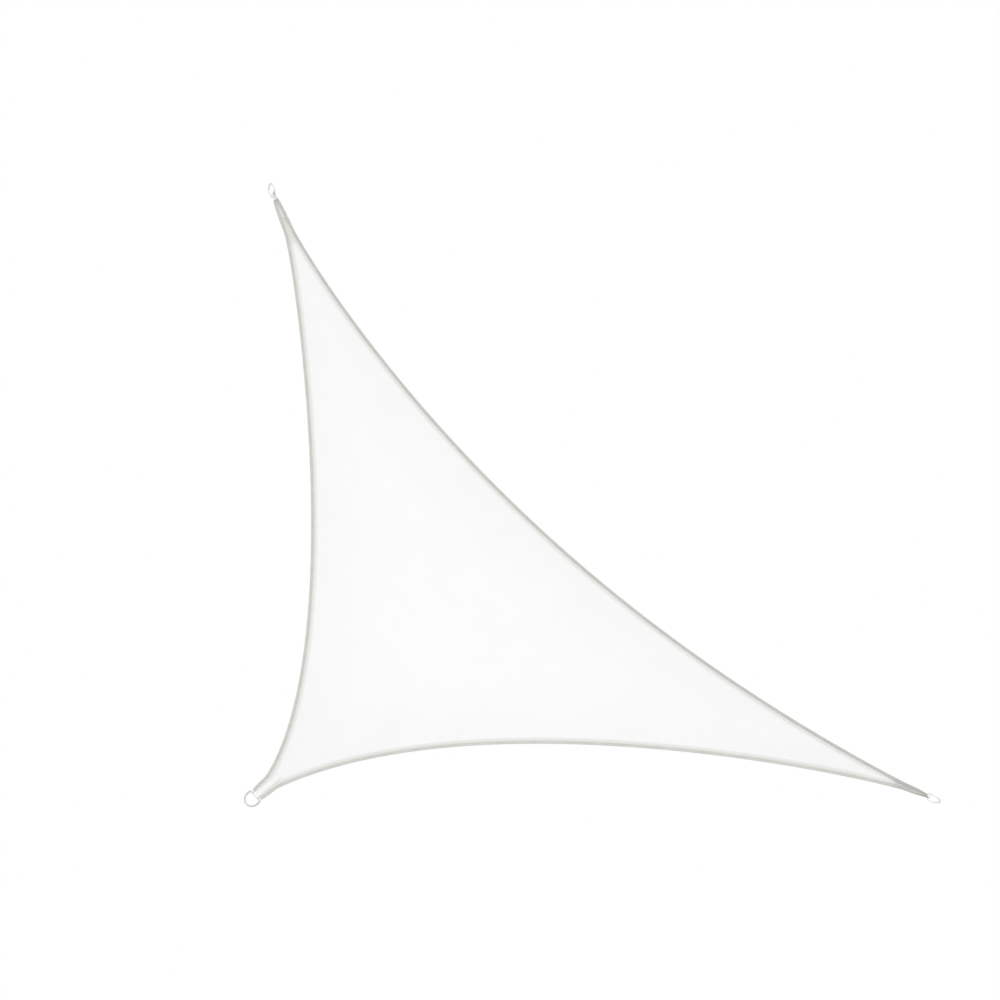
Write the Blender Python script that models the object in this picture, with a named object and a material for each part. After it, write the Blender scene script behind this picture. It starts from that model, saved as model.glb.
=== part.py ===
# Triangular shade sail, stretched by the D-rings at its three corners.
# The cloth lies in a sloping plane whose level side runs along X. In that plane u runs
# along the level side, v up the slope and h square to the cloth. The hook's bearing point
# inside the ring of the square corner is the origin.

import math

import bmesh
import bpy
from mathutils import Matrix, Vector
from mathutils.geometry import delaunay_2d_cdt

# Driving dimensions, in metres and degrees
SIDE = 3.0             # each short side, between the bearing points of its two rings
PITCH = 30.0           # slope of the stretched cloth
SAG = 0.050            # how far the middle hangs below the plane of the rings
SAG_POWER = 1.5        # above 1, so that the taut edges hang less than the middle

CLOTH = 0.0012         # knitted cloth
HEM = 0.0024           # cloth folded over and sewn along the edges
HEM_WIDTH = 0.028      # from the outer edge to the hem's sewn-down fold
HEM_STEP = 0.003       # width over which the hem falls to the single cloth
TAPE = 0.0009          # binding tape, folded over the edge
TAPE_WIDTH = 0.0125    # what shows of it on each face
STRAP = 0.0014         # webbing that holds each ring
STRAP_WIDTH = 0.025
STRAP_REACH = 0.185    # from the bearing point to the strap's sewn ends
GAP = 0.0005           # air between touching pieces

RING_WIDTH = 0.072     # over the outside of the wire
RING_DEPTH = 0.060     # from the outside of the bow to the outside of the bar
RING_WIRE = 0.008
RING_BEND = 0.009      # radius of the wire's middle where the bow turns into the bar
RING_SIDES = 10        # flats round the wire
BOW_STEPS = 12
BEND_STEPS = 3
WRAP_STEPS = 8

TURN_END = 0.056       # nearer the bearing point than this all is turned like the ring
LIFT_FROM = 0.200      # the tapes of a narrow neck run over its strap up to here
LIFT_TO = 0.230        # and lie on the hem again from here
NARROW_END = 0.405     # the hems of a narrow corner are one up to here

TURN_STEP = 0.006      # spacing of the sections where a neck turns
FINE = 0.015           # and elsewhere near the corners
COARSE = 0.080         # and along the middle of an edge
GROWTH = 0.14          # how fast the spacing grows away from a corner
GRID = 0.085           # spacing of the cloth's inner points
GRID_MARGIN = 0.070    # how far they keep from the outer edge

# Corners: place (u, v), direction of the pull, turn of the ring about that pull and length
# over which the neck turns back, bare loop of strap between bar and cloth, half width of
# the neck at its tip and root, how much it swells between them, and how far the root lies
# from the bearing point.
CORNERS = {
    "square": dict(at=(0.0, 0.0), pull=221.7, turn=0.0, turn_back=0.0, loop=0.001,
                   tip=0.0304, root=0.0368, swell=0.0021, reach=0.1345),
    "side": dict(at=(SIDE, 0.0), pull=-23.7, turn=-50.0, turn_back=0.074, loop=0.001,
                 tip=0.0142, root=0.0159, swell=0.0, reach=0.155),
    "top": dict(at=(0.0, SIDE), pull=112.2, turn=-68.0, turn_back=0.060, loop=0.028,
                tip=0.0142, root=0.0250, swell=0.0022, reach=0.264),
}

# Edges, anticlockwise seen from above: the corners that each joins, and at both roots the
# angle between the edge and the straight side with the length of the curve's handle.
EDGES = {
    "bottom": dict(ends=("square", "side"), angles=(25.4, 15.7), handles=(0.924, 0.429)),
    "long": dict(ends=("side", "top"), angles=(16.2, 17.6), handles=(1.907, 0.396)),
    "left": dict(ends=("top", "square"), angles=(17.1, 30.8), handles=(0.206, 0.677)),
}

ROOT_BLEND = 0.022     # length over which a neck turns into its edge
BLEND_STEPS = 6
CURVE_STEPS = 400
MERGE = 1e-7           # points of the flat cloth that are nearer than this are one

# Derived sizes
BAR_AT = RING_DEPTH - 1.5 * RING_WIRE
WRAP_INNER = RING_WIRE / 2 + GAP
WRAP_OUTER = WRAP_INNER + STRAP
CLOTH_EDGE = TAPE + GAP
TAPE_INNER = HEM / 2 + GAP
TAPE_OUTER = TAPE_INNER + TAPE


def clear_scene():
    for old in list(bpy.data.objects):
        bpy.data.objects.remove(old, do_unlink=True)


def corner_axes(corner):
    """Bearing point, inward direction and sideways direction of a corner, in the plane."""
    angle = math.radians(corner["pull"])
    pull = Vector((math.cos(angle), math.sin(angle)))
    return Vector(corner["at"]), -pull, Vector((-pull.y, pull.x))


def neck_start(corner):
    """Distance from the bearing point at which the cloth of a neck begins."""
    return BAR_AT + WRAP_OUTER + corner["loop"]


def sag_at(u, v):
    """Depth of the hanging cloth below the plane of the rings."""
    share_side = u / SIDE
    share_top = v / SIDE
    share_square = 1 - share_side - share_top
    if min(share_side, share_top, share_square) <= 0:
        return 0.0
    return SAG * (27 * share_side * share_top * share_square) ** SAG_POWER


def turn_at(corner, r):
    """Turn of a neck about its pull at distance r, eased out towards the body."""
    t = min(max((r - TURN_END) / corner["turn_back"], 0.0), 1.0)
    return math.radians(corner["turn"]) * (1 - t * t * (3 - 2 * t))


def place(u, v, h):
    """World position of a point of the sail, given as if it were flat and level."""
    flat = Vector((u, v))
    drop = sag_at(u, v)
    for corner in CORNERS.values():
        origin, inward, sideways = corner_axes(corner)
        r = (flat - origin).dot(inward)
        q = (flat - origin).dot(sideways)
        if corner["turn"] and r < TURN_END + corner["turn_back"]:
            angle = turn_at(corner, r)
            across = q * math.cos(angle) - h * math.sin(angle)
            h = q * math.sin(angle) + h * math.cos(angle)
            flat = origin + r * inward + across * sideways
            break
    slope = Matrix.Rotation(math.radians(PITCH), 3, "X")
    return slope @ Vector((flat.x, flat.y, h - drop))


def place_at(corner, r, q, h):
    """World position of a point given from a corner's bearing point."""
    origin, inward, sideways = corner_axes(corner)
    flat = origin + r * inward + q * sideways
    return place(flat.x, flat.y, h)


def neck_point(corner, r, hand):
    """Outer edge of a neck at distance r, on the side that hand (1 or -1) gives."""
    origin, inward, sideways = corner_axes(corner)
    share = (r - neck_start(corner)) / (corner["reach"] - neck_start(corner))
    half = corner["tip"] + (corner["root"] - corner["tip"]) * share
    half += corner["swell"] * math.sin(math.pi * share)
    return origin + r * inward + hand * half * sideways


def turned(direction, degrees):
    return Matrix.Rotation(math.radians(degrees), 2) @ direction


def bezier(p0, p1, p2, p3, t):
    s = 1 - t
    return s ** 3 * p0 + 3 * s * s * t * p1 + 3 * s * t * t * p2 + t ** 3 * p3


def blended(before, root, after):
    """Round the bend between a neck and its edge with a short quadratic curve."""
    start = root + (before - root).normalized() * ROOT_BLEND
    end = root + (after - root).normalized() * ROOT_BLEND
    return [(1 - t) ** 2 * start + 2 * (1 - t) * t * root + t * t * end
            for t in (i / BLEND_STEPS for i in range(BLEND_STEPS + 1))]


def spaced(start, end, step):
    """Even distances from start on, the last one a step short of end."""
    count = math.ceil((end - start) / step)
    return [start + (end - start) * i / count for i in range(count)]


def neck_line(corner, hand):
    """Outer edge of a neck, from its tip to where it starts to turn into the edge."""
    distances = spaced(neck_start(corner), corner["reach"] - ROOT_BLEND, TURN_STEP)
    return [neck_point(corner, r, hand) for r in distances]


def dense_edge(edge):
    """Outer edge between two rings as closely spaced points."""
    first, last = (CORNERS[name] for name in edge["ends"])
    start = neck_point(first, first["reach"], 1)
    end = neck_point(last, last["reach"], -1)
    chord = (Vector(last["at"]) - Vector(first["at"])).normalized()
    leave = turned(chord, edge["angles"][0]) * edge["handles"][0]
    arrive = turned(chord, -edge["angles"][1]) * edge["handles"][1]
    curve = [bezier(start, start + leave, end - arrive, end, i / CURVE_STEPS)
             for i in range(CURVE_STEPS + 1)]
    neck = neck_line(first, 1)
    other_neck = neck_line(last, -1)
    middle = [p for p in curve
              if (p - start).length > ROOT_BLEND and (p - end).length > ROOT_BLEND]
    return (neck + blended(neck[-1], start, middle[0]) + middle
            + blended(middle[-1], end, other_neck[-1]) + other_neck[::-1])


def zone_distances(corner):
    """Distances from the bearing point of the sections across a corner."""
    start = neck_start(corner)
    if not corner["turn"]:
        return spaced(start, STRAP_REACH, FINE) + [STRAP_REACH]
    straight = TURN_END + corner["turn_back"]
    turning = spaced(start, straight, TURN_STEP)
    return turning + spaced(straight, NARROW_END, FINE) + [NARROW_END]


def point_at_distance(points, corner, r):
    """First point along a run that lies at distance r from a corner's bearing point."""
    origin, inward, _ = corner_axes(corner)
    for p, q in zip(points, points[1:]):
        rp = (p - origin).dot(inward)
        rq = (q - origin).dot(inward)
        if rp <= r <= rq:
            return p.lerp(q, (r - rp) / max(rq - rp, 1e-9))
    return points[0].copy()


def stretch_between(points, start, end):
    """Sections along the middle of an edge, fine at both ends and coarse between."""
    lengths = [0.0]
    for p, q in zip(points, points[1:]):
        lengths.append(lengths[-1] + (q - p).length)

    def length_at(target):
        nearest = min(range(len(points)), key=lambda i: (points[i] - target).length)
        return lengths[nearest]

    low, high = length_at(start), length_at(end)
    marks = [low]
    while True:
        near = min(marks[-1] - low, high - marks[-1])
        step = min(FINE + GROWTH * max(near, 0.0), COARSE)
        if marks[-1] + step > high:
            break
        marks.append(marks[-1] + step)
    scale = (high - low) / (marks[-1] - low)
    found = []
    for mark in (low + (m - low) * scale for m in marks[1:-1]):
        i = next(k for k in range(1, len(lengths)) if lengths[k] >= mark)
        share = (mark - lengths[i - 1]) / (lengths[i] - lengths[i - 1])
        found.append(points[i - 1].lerp(points[i], share))
    return found


def edge_sections(edge):
    """Points on the outer edge with the inward direction at each, ring to ring."""
    first, last = (CORNERS[name] for name in edge["ends"])
    dense = dense_edge(edge)
    head = [point_at_distance(dense, first, r) for r in zone_distances(first)]
    tail = [point_at_distance(dense[::-1], last, r) for r in zone_distances(last)]
    points = head + stretch_between(dense, head[-1], tail[-1]) + tail[::-1]
    sections = []
    for i, point in enumerate(points):
        before = points[max(i - 1, 0)]
        after = points[min(i + 1, len(points) - 1)]
        along = (after - before).normalized()
        sections.append((point, Vector((-along.y, along.x))))
    return sections


SECTIONS = {name: edge_sections(edge) for name, edge in EDGES.items()}


def row(name, inset):
    """A line that runs along an edge, inset from its outer side."""
    return [point + inset * inward for point, inward in SECTIONS[name]]


def distance_to_edge(point, name):
    points = row(name, 0.0)
    best = None
    for p, q in zip(points, points[1:]):
        along = q - p
        t = min(max((point - p).dot(along) / along.length_squared, 0.0), 1.0)
        gap = (p + t * along - point).length
        best = gap if best is None else min(best, gap)
    return best


class Layout:
    """Points and fixed lines of the flat cloth, joined up by a triangulation."""

    def __init__(self):
        self.points = []
        self.half = []
        self.lines = []

    def add_row(self, points, half):
        """Add points that share a half thickness, with a fixed line through them."""
        first = len(self.points)
        indices = list(range(first, first + len(points)))
        self.points += points
        self.half += [half] * len(points)
        self.lines += list(zip(indices, indices[1:]))
        return indices

    def tie(self, row_a, row_b):
        """Fix the cross lines and the cuts of the quads between two rows."""
        self.lines += list(zip(row_a, row_b))
        self.lines += list(zip(row_a, row_b[1:]))


def in_body(point):
    """Whether a point lies beyond the cross sections of all three corners."""
    for corner in CORNERS.values():
        origin, inward, _ = corner_axes(corner)
        if (point - origin).dot(inward) < zone_distances(corner)[-1] + FINE / 2:
            return False
    return True


def is_inside(point):
    """Whether a point is on the cloth's side of all three edges."""
    for sections in SECTIONS.values():
        near, inward = min(sections, key=lambda section: (section[0] - point).length)
        if (point - near).dot(inward) < 0:
            return False
    return True


def grid_points():
    """Inner points of the cloth, in staggered rows that keep off its edges."""
    pitch = GRID * math.sqrt(0.75)
    found = []
    for i in range(math.ceil(SIDE / pitch)):
        for j in range(math.ceil(SIDE / GRID)):
            point = Vector(((j + 0.5 * (i % 2)) * GRID, i * pitch))
            if is_inside(point) and in_body(point):
                if min(distance_to_edge(point, name) for name in EDGES) > GRID_MARGIN:
                    found.append(point)
    return found


def cloth_layout():
    """Outline, tape line, middles of the necks, hem fold and inner grid of the cloth."""
    layout = Layout()
    inner = {}
    for name in EDGES:
        outer = layout.add_row(row(name, CLOTH_EDGE), HEM / 2)
        inner[name] = layout.add_row(row(name, TAPE_WIDTH), HEM / 2)
        layout.tie(outer, inner[name])
        fold = [point for point in row(name, HEM_WIDTH) if in_body(point)]
        layout.add_row(fold, HEM / 2)
        step = [point for point in row(name, HEM_WIDTH + HEM_STEP) if in_body(point)]
        layout.add_row(step, CLOTH / 2)
    for key, corner in CORNERS.items():
        origin, inward, _ = corner_axes(corner)
        middle = layout.add_row([origin + r * inward for r in zone_distances(corner)], HEM / 2)
        for name, edge in EDGES.items():
            if edge["ends"][0] == key:
                layout.tie(inner[name], middle)
            elif edge["ends"][1] == key:
                layout.tie(middle, inner[name][::-1][:len(middle)])
    for point in grid_points():
        layout.add_row([point], CLOTH / 2)
    return layout


def build_cloth():
    """The one panel with its hem: upper and under face, joined round the outline."""
    layout = cloth_layout()
    result = delaunay_2d_cdt(layout.points, layout.lines, [], 1, MERGE)
    points, _, faces, origins = result[:4]
    half = [layout.half[ids[0]] for ids in origins]
    mesh = bmesh.new()
    upper = [mesh.verts.new(place(p.x, p.y, t)) for p, t in zip(points, half)]
    under = [mesh.verts.new(place(p.x, p.y, -t)) for p, t in zip(points, half)]
    sides = set()
    for face in faces:
        mesh.faces.new([upper[i] for i in face])
        mesh.faces.new([under[i] for i in reversed(face)])
        sides |= set(zip(face, face[1:] + face[:1]))
    for a, b in sorted(sides):
        if (b, a) not in sides:
            mesh.faces.new((upper[b], upper[a], under[a], under[b]))
    return mesh


def sweep(sections, keys, fall=None):
    """Closed tube through equal sections of world points, with caps at its ends.

    Each quad is cut from its smaller key on the near section to its larger key on the
    far one, and the other way from section number fall on.
    """
    mesh = bmesh.new()
    rings = [[mesh.verts.new(point) for point in section] for section in sections]
    for k, (near, far) in enumerate(zip(rings, rings[1:])):
        rising = fall is None or k < fall
        for i in range(len(keys)):
            j = (i + 1) % len(keys)
            if (keys[i] <= keys[j]) == rising:
                mesh.faces.new((near[i], near[j], far[j]))
                mesh.faces.new((near[i], far[j], far[i]))
            else:
                mesh.faces.new((near[i], near[j], far[i]))
                mesh.faces.new((near[j], far[j], far[i]))
    mesh.faces.new(rings[0][::-1])
    mesh.faces.new(rings[-1])
    bmesh.ops.recalc_face_normals(mesh, faces=mesh.faces)
    return mesh


def tape_lift(point):
    """How far a tape stands off to make room for a strap between it and the hem."""
    for corner in CORNERS.values():
        origin, inward, _ = corner_axes(corner)
        r = (point - origin).dot(inward)
        if corner["turn"] and r < LIFT_TO:
            return (STRAP + GAP) * min((LIFT_TO - r) / (LIFT_TO - LIFT_FROM), 1.0)
    return 0.0


def tape_profile(lift):
    """Outline of a folded tape, a U, as (inset, height)."""
    inner = TAPE_INNER + lift
    outer = TAPE_OUTER + lift
    return (
        (TAPE_WIDTH, outer), (TAPE, outer), (0.0, outer - TAPE),
        (0.0, TAPE - outer), (TAPE, -outer), (TAPE_WIDTH, -outer),
        (TAPE_WIDTH, -inner), (TAPE, -inner), (TAPE, inner), (TAPE_WIDTH, inner),
    )


def build_tape(name):
    """Binding tape, folded over one edge from neck to neck."""
    sections = []
    for point, inward in SECTIONS[name]:
        section = []
        for inset, h in tape_profile(tape_lift(point)):
            flat = point + inset * inward
            section.append(place(flat.x, flat.y, h))
        sections.append(section)
    return sweep(sections, [inset for inset, _ in tape_profile(0.0)])


def bare_loop(first, last):
    """Inner and outer (r, h) between two stations of a strap, spaced evenly."""
    count = math.ceil((first[0][0] - last[0][0]) / TURN_STEP)
    ends = [(Vector(a), Vector(b)) for a, b in zip(first, last)]
    return [tuple(tuple(a.lerp(b, i / count)) for a, b in ends) for i in range(1, count)]


def strap_path(corner):
    """Inner and outer (r, h) of a strap, from its upper end round the bar to its lower."""
    on_cloth = [r for r in zone_distances(corner) if r < STRAP_REACH + FINE / 2]
    start = Vector((on_cloth[0] - BAR_AT, TAPE_INNER))
    lift = math.atan2(start.y, start.x) + math.acos(WRAP_INNER / start.length)
    upper = [((r, TAPE_INNER), (r, TAPE_INNER + STRAP)) for r in reversed(on_cloth)]
    wrap = []
    for i in range(WRAP_STEPS + 1):
        angle = lift + (2 * math.pi - 2 * lift) * i / WRAP_STEPS
        out = Vector((math.cos(angle), math.sin(angle)))
        bar = Vector((BAR_AT, 0.0))
        wrap.append((tuple(bar + WRAP_INNER * out), tuple(bar + WRAP_OUTER * out)))
    lower = [((r, -TAPE_INNER), (r, -TAPE_INNER - STRAP)) for r in on_cloth]
    leaving = bare_loop(lower[0], wrap[-1])[::-1]
    return upper + bare_loop(upper[-1], wrap[0]) + wrap + leaving + lower


def build_strap(corner):
    """Webbing strap looped round a ring's bar, an end on each face of the cloth."""
    across = (STRAP_WIDTH / 2, 0.0, -STRAP_WIDTH / 2)
    path = strap_path(corner)
    sections = []
    for inner, outer in path:
        section = [place_at(corner, outer[0], q, outer[1]) for q in across]
        section += [place_at(corner, inner[0], q, inner[1]) for q in reversed(across)]
        sections.append(section)
    return sweep(sections, [*across, *reversed(across)], fall=len(path) // 2)


def build_ring():
    """D-ring in its own frame: bearing point at the origin, bar along Y at +X."""
    half = (RING_WIDTH - RING_WIRE) / 2
    bend_x = BAR_AT - RING_BEND
    bend_y = half - RING_BEND
    arcs = (
        (half - RING_WIRE / 2, 0.0, half, 90.0, 270.0, BOW_STEPS),
        (bend_x, -bend_y, RING_BEND, 270.0, 360.0, BEND_STEPS),
        (bend_x, bend_y, RING_BEND, 0.0, 90.0, BEND_STEPS),
    )
    mesh = bmesh.new()
    rings = []
    for x, y, radius, start, end, steps in arcs:
        for i in range(steps + 1):
            angle = math.radians(start + (end - start) * i / steps)
            out = Vector((math.cos(angle), math.sin(angle), 0.0))
            middle = Vector((x, y, 0.0)) + radius * out
            rings.append([])
            for k in range(RING_SIDES):
                turn = 2 * math.pi * (k + 0.5) / RING_SIDES
                wall = math.cos(turn) * out + math.sin(turn) * Vector((0.0, 0.0, 1.0))
                rings[-1].append(mesh.verts.new(middle + RING_WIRE / 2 * wall))
    for near, far in zip(rings, rings[1:] + rings[:1]):
        for k in range(RING_SIDES):
            j = (k + 1) % RING_SIDES
            mesh.faces.new((near[k], near[j], far[j], far[k]))
    bmesh.ops.recalc_face_normals(mesh, faces=mesh.faces)
    return mesh


def ring_matrix(corner):
    """World frame of a ring: X inward, Z square to the turned neck."""
    origin, inward, sideways = corner_axes(corner)
    angle = math.radians(corner["turn"])
    side = sideways.to_3d()
    up = Vector((0.0, 0.0, 1.0))
    x = inward.to_3d()
    y = -math.cos(angle) * side - math.sin(angle) * up
    z = math.cos(angle) * up - math.sin(angle) * side
    frame = Matrix((x, y, z)).transposed().to_4x4()
    frame.translation = origin.to_3d()
    return Matrix.Rotation(math.radians(PITCH), 4, "X") @ frame


def make_material(name, colour, roughness, metallic=0.0):
    material = bpy.data.materials.new(name)
    material.use_nodes = True
    shader = material.node_tree.nodes["Principled BSDF"]
    shader.inputs["Base Color"].default_value = (*colour, 1.0)
    shader.inputs["Roughness"].default_value = roughness
    shader.inputs["Metallic"].default_value = metallic
    material.diffuse_color = (*colour, 1.0)
    return material


def finish_mesh(mesh, name):
    data = bpy.data.meshes.new(name)
    mesh.to_mesh(data)
    mesh.free()
    return data


def add_object(name, data, parent, material, matrix=None):
    thing = bpy.data.objects.new(name, data)
    bpy.context.scene.collection.objects.link(thing)
    thing.parent = parent
    if matrix is not None:
        thing.matrix_world = matrix
    if not data.materials:
        data.materials.append(material)
    return thing


def main():
    clear_scene()
    sail = bpy.data.objects.new("shade_sail", None)
    bpy.context.scene.collection.objects.link(sail)
    cloth = make_material("white_knitted_cloth", (0.86, 0.86, 0.85), 0.85)
    tape = make_material("grey_binding_tape", (0.48, 0.48, 0.45), 0.75)
    webbing = make_material("white_webbing", (0.78, 0.78, 0.76), 0.70)
    steel = make_material("polished_steel", (0.62, 0.62, 0.63), 0.22, 1.0)

    add_object("sail_cloth", finish_mesh(build_cloth(), "sail_cloth"), sail, cloth)
    for name in EDGES:
        data = finish_mesh(build_tape(name), "tape_" + name)
        add_object("tape_" + name, data, sail, tape)
    ring = finish_mesh(build_ring(), "d_ring")
    ring.shade_smooth()
    for name, corner in CORNERS.items():
        data = finish_mesh(build_strap(corner), "strap_" + name)
        add_object("strap_" + name, data, sail, webbing)
        add_object("ring_" + name, ring, sail, steel, ring_matrix(corner))


main()
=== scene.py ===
import math

import bmesh
import bpy
from mathutils import Matrix, Vector
from mathutils.geometry import delaunay_2d_cdt
from mathutils.kdtree import KDTree


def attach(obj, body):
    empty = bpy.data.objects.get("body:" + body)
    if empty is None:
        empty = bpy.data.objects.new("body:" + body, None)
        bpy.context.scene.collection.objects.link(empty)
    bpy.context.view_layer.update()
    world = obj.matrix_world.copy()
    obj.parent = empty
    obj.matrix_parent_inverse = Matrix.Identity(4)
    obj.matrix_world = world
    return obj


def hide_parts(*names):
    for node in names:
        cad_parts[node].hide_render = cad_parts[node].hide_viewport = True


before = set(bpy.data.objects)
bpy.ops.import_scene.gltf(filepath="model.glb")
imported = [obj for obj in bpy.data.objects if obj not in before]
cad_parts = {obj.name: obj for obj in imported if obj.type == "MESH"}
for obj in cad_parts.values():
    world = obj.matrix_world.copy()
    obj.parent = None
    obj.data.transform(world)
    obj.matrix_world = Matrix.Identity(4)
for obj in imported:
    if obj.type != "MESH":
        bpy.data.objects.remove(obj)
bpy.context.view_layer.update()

# Triangular shade sail, pulled taut by the D-rings at its three corners.
# The cloth lies in a sloping plane: u runs along its level side, v up the slope and h square
# to it. The square corner's ring bears on its hook at the origin.

sail = {
    "side": 3.0,          # each short side, from hook to hook
    "pitch": 30.0,        # slope of the cloth, in degrees
    "sag": 0.050,         # how far the middle hangs
    "sagPower": 1.5,      # keeps the taut edges straighter than the middle
    "turnEnd": 0.056,     # this close to the hook all is turned like the ring
}

# place (u, v), direction of the pull, turn of the ring about it and over what length the neck
# turns back, bare loop of strap, half width of the neck at its tip and root, how much it swells
# between them, and how far the root is from the hook
corners = {
    "square": {"at": (0.0, 0.0), "pull": 221.7, "turn": 0.0, "turnBack": 0.0, "loop": 0.001,
               "tip": 0.0304, "root": 0.0368, "swell": 0.0021, "reach": 0.1345},
    "side": {"at": (3.0, 0.0), "pull": -23.7, "turn": -50.0, "turnBack": 0.074, "loop": 0.001,
             "tip": 0.0142, "root": 0.0159, "swell": 0.0, "reach": 0.155},
    "top": {"at": (0.0, 3.0), "pull": 112.2, "turn": -68.0, "turnBack": 0.060, "loop": 0.028,
            "tip": 0.0142, "root": 0.0250, "swell": 0.0022, "reach": 0.264},
}

# the corners that an edge joins, with its angle off the straight side and its handle at both
edges = {
    "bottom": {"ends": ("square", "side"), "angles": (25.4, 15.7), "handles": (0.924, 0.429)},
    "long": {"ends": ("side", "top"), "angles": (16.2, 17.6), "handles": (1.907, 0.396)},
    "left": {"ends": ("top", "square"), "angles": (17.1, 30.8), "handles": (0.206, 0.677)},
}

# soft pull lines that fan out from the corners: angle off the middle of the corner, where
# they start and end, their half width there, and their height
pullLines = [
    {"corner": "square", "angle": -14.0, "span": (0.10, 0.85), "width": (0.016, 0.050), "height": 0.0012},
    {"corner": "square", "angle": 3.0, "span": (0.12, 1.10), "width": (0.018, 0.060), "height": -0.0013},
    {"corner": "square", "angle": 17.0, "span": (0.10, 0.75), "width": (0.015, 0.045), "height": 0.0011},
    {"corner": "side", "angle": -3.0, "span": (0.30, 1.15), "width": (0.014, 0.045), "height": 0.0012},
    {"corner": "side", "angle": 4.5, "span": (0.28, 1.00), "width": (0.013, 0.040), "height": -0.0012},
    {"corner": "top", "angle": 3.5, "span": (0.30, 1.20), "width": (0.014, 0.045), "height": 0.0013},
    {"corner": "top", "angle": -4.0, "span": (0.28, 0.95), "width": (0.013, 0.038), "height": -0.0011},
]


def cornerAxes(corner):
    # hook point, inward direction and sideways direction
    angle = math.radians(corner["pull"])
    pull = Vector((math.cos(angle), math.sin(angle)))
    return Vector(corner["at"]), -pull, Vector((-pull.y, pull.x))


axesOf = {name: cornerAxes(corner) for name, corner in corners.items()}


def sagAt(u, v):
    shares = (u / sail["side"], v / sail["side"], 1 - (u + v) / sail["side"])
    if min(shares) <= 0:
        return 0.0
    return sail["sag"] * (27 * shares[0] * shares[1] * shares[2]) ** sail["sagPower"]


def smoothFall(t):
    # from 1 to 0 while t goes from 0 to 1
    t = min(max(t, 0.0), 1.0)
    return 1 - t * t * (3 - 2 * t)


def turnAt(corner, r):
    return math.radians(corner["turn"]) * smoothFall((r - sail["turnEnd"]) / corner["turnBack"])


def pullLineHeight(flat):
    total = 0.0
    for line in pullLines:
        origin, inward, sideways = axesOf[line["corner"]]
        out = flat - origin
        r = out.dot(inward)
        start, end = line["span"]
        if start < r < end:
            t = (r - start) / (end - start)
            middle = r * math.tan(math.radians(line["angle"]))
            half = line["width"][0] + (line["width"][1] - line["width"][0]) * t
            across = (out.dot(sideways) - middle) / half
            total += line["height"] * math.sin(math.pi * t) ** 2 * math.exp(-across * across)
    return total


def place(u, v, h):
    # world place of a point of the sail, given as if the sail were flat and level
    flat = Vector((u, v))
    drop = sagAt(u, v)
    h += pullLineHeight(flat)
    for name, corner in corners.items():
        origin, inward, sideways = axesOf[name]
        r = (flat - origin).dot(inward)
        if corner["turn"] and r < sail["turnEnd"] + corner["turnBack"]:
            q = (flat - origin).dot(sideways)
            angle = turnAt(corner, r)
            across = q * math.cos(angle) - h * math.sin(angle)
            h = q * math.sin(angle) + h * math.cos(angle)
            flat = origin + r * inward + across * sideways
            break
    slope = math.radians(sail["pitch"])
    h -= drop
    return Vector((flat.x, flat.y * math.cos(slope) - h * math.sin(slope),
                   flat.y * math.sin(slope) + h * math.cos(slope)))


cloth = {
    "thickness": 0.0012,
    "hem": 0.0024,          # folded over
    "hemWidth": 0.028,      # from the edge to the fold that is sewn down
    "hemSeam": 0.0035,      # from that fold back to its stitches
    "hemFall": 0.0008,      # how steeply the fold ends underneath
    "hemLead": 0.004,       # on top it starts to show this far outside the fold
    "hemEase": 0.009,       # and ends softly over this width
    "dimple": 0.00022,      # how deep the seam pulls in
    "dimpleWidth": 0.0012,
    "edgeAir": 0.0004,      # between its edge and the fold of the tape
    "rows": (0.007, 0.018, 0.0225, 0.0265, 0.033, 0.046),   # of points, besides those at seams
    "rowSlack": 0.0004,     # how much nearer to another edge a point of a row may lie
    "step": 0.009,          # spacing of the points along the edges
    "grid": 0.020,          # and in the middle
    "gridKeepsOff": 0.058,  # how far those stay from the edge
    # the painted hem shade in a narrow neck is drawn as if the cloth were this many times as far
    # from its edge: deeper in the top one, where its two hems overlap, fainter in the side one
    "neckHemShade": {"side": 1.2, "top": 0.62},
    "neckHemShadeSpan": (0.30, 0.36),   # from the hook: where that painted shade starts to fade, and is gone
}

tape = {
    "thickness": 0.0009,
    "width": 0.0125,        # on each face
    "cutWidth": 0.0275,     # before folding
    "air": 0.00012,         # between tape and hem
    "seam": 0.0022,         # from its edge to its stitches
    "crownAt": 0.55,        # share of its width where it is highest
    "crown": 0.0001,
    "step": 0.006,          # spacing of its sections along the edge
    "foldSteps": 6,         # round the fold over the edge
    "wander": 0.0004,       # how unevenly it was sewn on
    "lift": (0.200, 0.230),    # from the hook: where it leaves the strap's end, and is down again
    # from the hook: where the two tapes start to part in the middle, and are of even width again
    "close": {"side": (0.200, 0.275), "top": (0.210, 0.260)},
    "spread": {"side": 0.0042, "top": 0.0030},   # how much wider they are folded there
    "paintedLight": {"bottom": 1.145, "long": 1.01, "left": 1.10},   # painted light: each edge's tape drawn lighter or darker by this share
    "wornAndShaded": {"side": 0.87, "top": 1.0},      # painted shade: share of that in the narrow necks
    "neckShadeSpan": (0.150, 0.250),              # from the hook: where that painted shade starts to fade, and is gone
    "tipShade": {"side": 0.78, "top": 0.97},   # and painted shade by their tips, as a share of both
    "tipShadeSpan": (0.060, 0.120),
}

strap = {
    "thickness": 0.0014,
    "width": 0.025,
    "reach": 0.185,         # from the hook to the sewn ends
    "air": 0.00015,
    "step": 0.005,
    "wrapSteps": 20,        # round the ring's bar
    "paintedNeckShade": 0.80,       # painted shade on it between the two tapes of a narrow neck
    "paintedNeckShadeFade": 0.012,      # over this length
}

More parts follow.
